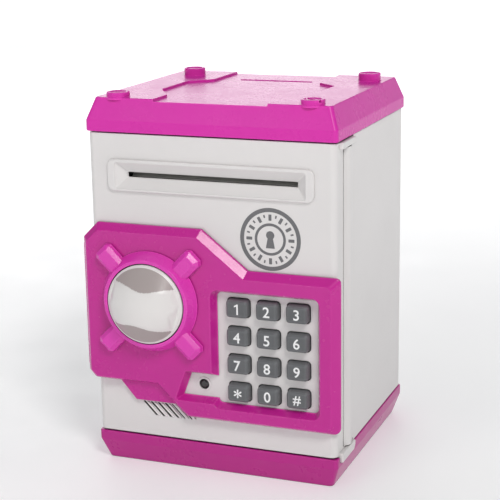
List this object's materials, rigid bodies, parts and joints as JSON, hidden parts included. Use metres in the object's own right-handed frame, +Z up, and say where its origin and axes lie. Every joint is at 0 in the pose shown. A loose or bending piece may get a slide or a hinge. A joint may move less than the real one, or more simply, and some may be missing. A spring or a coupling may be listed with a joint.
{
  "type": "toy safe coin bank",
  "caption": "Toy safe money bank with a coin slot in the lid, a motor-fed note slot, a keypad, and a hinged door locked by a turning knob.",
  "frame": {"origin": "centre of the base's underside, on the surface that it stands on", "axes": "+Z up, -Y out of the front with the door, +X towards the door's hinge"},
  "size_m": [0.1348, 0.1395, 0.1928],
  "materials": {
    "white_shell": "satin moulded",
    "pink_shell": "glossy moulded",
    "inner_plastic": "fine moulded",
    "key_rubber": "matte silicone",
    "membrane_rubber": "matte",
    "circuit_board": "solder mask",
    "led_window": "clear lens over black",
    "speaker_black": "paper cone",
    "lock_grey": "fine moulded",
    "plated_steel": "zinc plated",
    "brass_pinion": "machined",
    "battery_jacket": "printed film",
    "feeder_plastic": "fine moulded",
    "tyre_rubber": "matte",
    "lead_jacket": "insulation"
  },
  "bodies": {
    "cabinet": {"cabinet_shell": "white_shell", "lid": "pink_shell", "base_tray": "pink_shell", "battery_cover": "pink_shell", "battery_cover_screw": "plated_steel", "battery_1": "battery_jacket", "battery_2": "battery_jacket", "battery_3": "battery_jacket", "contact_right_link": "plated_steel", "contact_right_end": "plated_steel", "contact_left_link": "plated_steel", "contact_left_end": "plated_steel", "base_screw_1": "plated_steel", "base_screw_2": "plated_steel", "base_screw_3": "plated_steel", "base_screw_4": "plated_steel"},
    "door": {"door_shell": "white_shell", "front_panel": "pink_shell", "door_inner_cover": "inner_plastic", "cover_screw_1": "plated_steel", "cover_screw_2": "plated_steel", "cover_screw_3": "plated_steel", "cover_screw_4": "plated_steel", "hinge_pin_lower": "plated_steel", "hinge_pin_upper": "plated_steel", "keypad_membrane": "membrane_rubber", "keypad_board": "circuit_board", "status_led": "led_window", "speaker": "speaker_black", "lock_case": "lock_grey", "lock_solenoid": "plated_steel", "feeder_frame": "feeder_plastic", "feeder_motor": "plated_steel", "motor_lead": "lead_jacket", "solenoid_lead": "lead_jacket", "speaker_lead": "lead_jacket"},
    "knob": {"knob_hub": "pink_shell", "knob_cap": "white_shell", "knob_spindle": "inner_plastic"},
    "latch": {"latch_bolt": "inner_plastic"},
    "plunger": {"lock_plunger": "plated_steel"},
    "drive_roller": {"drive_roller_shaft": "plated_steel", "drive_tyre_left": "tyre_rubber", "drive_tyre_right": "tyre_rubber", "roller_gear": "inner_plastic"},
    "reduction": {"reduction_gear": "inner_plastic"},
    "rotor": {"motor_pinion": "brass_pinion"},
    "idler": {"idler_roller": "inner_plastic"},
    "key_1": {"key_1": "key_rubber"},
    "key_2": {"key_2": "key_rubber"},
    "key_3": {"key_3": "key_rubber"},
    "key_4": {"key_4": "key_rubber"},
    "key_5": {"key_5": "key_rubber"},
    "key_6": {"key_6": "key_rubber"},
    "key_7": {"key_7": "key_rubber"},
    "key_8": {"key_8": "key_rubber"},
    "key_9": {"key_9": "key_rubber"},
    "key_star": {"key_star": "key_rubber"},
    "key_0": {"key_0": "key_rubber"},
    "key_hash": {"key_hash": "key_rubber"}
  },
  "joints": [
    {"name": "door_hinge", "type": "hinge", "parent": "cabinet", "child": "door", "pos_m": [0.0619, -0.041, 0.0931], "axis": [0, 0, 1], "range_deg": [0, 105]},
    {"name": "knob_turn", "type": "hinge", "parent": "door", "child": "knob", "pos_m": [-0.0307, -0.066, 0.0894], "axis": [0, -1, 0], "range_deg": [0, 90]},
    {"name": "latch_slide", "type": "slide", "parent": "door", "child": "latch", "axis": [-1, 0, 0], "range_m": [0, 0.00566]},
    {"name": "plunger_slide", "type": "slide", "parent": "door", "child": "plunger", "axis": [0, 0, -1], "range_m": [0, 0.0032]},
    {"name": "drive_roller_spin", "type": "hinge", "parent": "door", "child": "drive_roller", "pos_m": [0, -0.046, 0.1566], "axis": [1, 0, 0], "continuous": true},
    {"name": "reduction_spin", "type": "hinge", "parent": "door", "child": "reduction", "pos_m": [0.0495, -0.046, 0.1406], "axis": [1, 0, 0], "continuous": true},
    {"name": "rotor_spin", "type": "hinge", "parent": "door", "child": "rotor", "pos_m": [0.0495, -0.046, 0.1278], "axis": [1, 0, 0], "continuous": true},
    {"name": "idler_spin", "type": "hinge", "parent": "door", "child": "idler", "pos_m": [0, -0.046, 0.1468], "axis": [1, 0, 0], "continuous": true},
    {"name": "key_1_press", "type": "slide", "parent": "door", "child": "key_1", "axis": [0, 1, 0], "range_m": [0, 0.0012], "stiffness_N_per_m": 400},
    {"name": "key_2_press", "type": "slide", "parent": "door", "child": "key_2", "axis": [0, 1, 0], "range_m": [0, 0.0012], "stiffness_N_per_m": 400},
    {"name": "key_3_press", "type": "slide", "parent": "door", "child": "key_3", "axis": [0, 1, 0], "range_m": [0, 0.0012], "stiffness_N_per_m": 400},
    {"name": "key_4_press", "type": "slide", "parent": "door", "child": "key_4", "axis": [0, 1, 0], "range_m": [0, 0.0012], "stiffness_N_per_m": 400},
    {"name": "key_5_press", "type": "slide", "parent": "door", "child": "key_5", "axis": [0, 1, 0], "range_m": [0, 0.0012], "stiffness_N_per_m": 400},
    {"name": "key_6_press", "type": "slide", "parent": "door", "child": "key_6", "axis": [0, 1, 0], "range_m": [0, 0.0012], "stiffness_N_per_m": 400},
    {"name": "key_7_press", "type": "slide", "parent": "door", "child": "key_7", "axis": [0, 1, 0], "range_m": [0, 0.0012], "stiffness_N_per_m": 400},
    {"name": "key_8_press", "type": "slide", "parent": "door", "child": "key_8", "axis": [0, 1, 0], "range_m": [0, 0.0012], "stiffness_N_per_m": 400},
    {"name": "key_9_press", "type": "slide", "parent": "door", "child": "key_9", "axis": [0, 1, 0], "range_m": [0, 0.0012], "stiffness_N_per_m": 400},
    {"name": "key_star_press", "type": "slide", "parent": "door", "child": "key_star", "axis": [0, 1, 0], "range_m": [0, 0.0012], "stiffness_N_per_m": 400},
    {"name": "key_0_press", "type": "slide", "parent": "door", "child": "key_0", "axis": [0, 1, 0], "range_m": [0, 0.0012], "stiffness_N_per_m": 400},
    {"name": "key_hash_press", "type": "slide", "parent": "door", "child": "key_hash", "axis": [0, 1, 0], "range_m": [0, 0.0012], "stiffness_N_per_m": 400}
  ],
  "couplings": [
    {"joint": "latch_slide", "follows": "knob_turn", "m_per_rad": 0.0036},
    {"joint": "reduction_spin", "follows": "drive_roller_spin", "ratio": -0.81818},
    {"joint": "rotor_spin", "follows": "drive_roller_spin", "ratio": 1.8},
    {"joint": "idler_spin", "follows": "drive_roller_spin", "ratio": -1.375}
  ]
}
